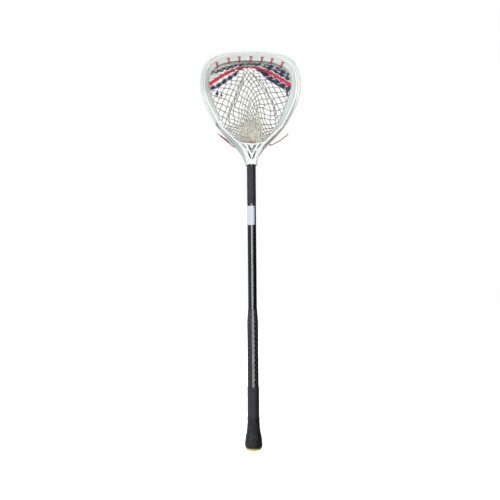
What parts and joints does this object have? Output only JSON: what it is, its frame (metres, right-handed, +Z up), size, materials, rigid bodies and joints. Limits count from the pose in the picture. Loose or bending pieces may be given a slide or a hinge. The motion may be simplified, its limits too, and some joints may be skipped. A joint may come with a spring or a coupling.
{
  "type": "lacrosse stick",
  "caption": "Goalkeeper's lacrosse stick: wide moulded head with a deep mesh pocket and shooting laces on a taped eight-sided shaft with a grip sleeve and a taped knob.",
  "frame": {"origin": "centre of the flat face of the butt end", "axes": "+Z up along the shaft to the head, the open face of the head looks along -Y, the bag hangs out along +Y, +X to the right seen from the face"},
  "size_m": [0.3124, 0.1264, 1.2277],
  "materials": {
    "shaft_black": "glossy anodised black",
    "tape_grey": "cloth tape",
    "sticker_white": "blank paper sticker",
    "grip_black": "embossed grip sleeve",
    "knob_tape": "cloth tape",
    "cap_yellow": "moulded rubber",
    "head_white": "moulded nylon, satin",
    "foam": "closed-cell foam",
    "screw_steel": "zinc plated",
    "mesh_tan": "knitted nylon mesh",
    "lace_navy": "woven flat lace",
    "lace_red": "woven flat lace",
    "string_red": "braided string",
    "string_black": "braided string"
  },
  "bodies": {
    "stick": {"shaft": "shaft_black", "upper_tape": "tape_grey", "sticker": "sticker_white", "grip_sleeve": "grip_black", "lower_tape": "tape_grey", "knob_tape": "knob_tape", "end_cap": "cap_yellow", "head_frame": "head_white", "ball_stop": "foam", "mesh_pocket": "mesh_tan", "shooting_lace_top": "lace_navy", "shooting_lace_middle": "lace_red", "shooting_lace_lower": "lace_navy", "lace_knots_left": "lace_navy", "lace_knots_right": "lace_navy", "top_string": "string_red", "left_sidewall_string": "string_red", "right_sidewall_string": "string_black", "bottom_string": "string_red", "left_string_tail": "string_red", "right_string_tail": "string_red", "black_string_tail": "string_black", "side_string_end": "string_black", "right_tail_knot": "string_black"},
    "screw": {"head_screw": "screw_steel"}
  },
  "joints": [
    {"name": "screw_out", "type": "slide", "parent": "stick", "child": "screw", "axis": [0, 1, 0], "range_m": [0, 0.014]}
  ]
}
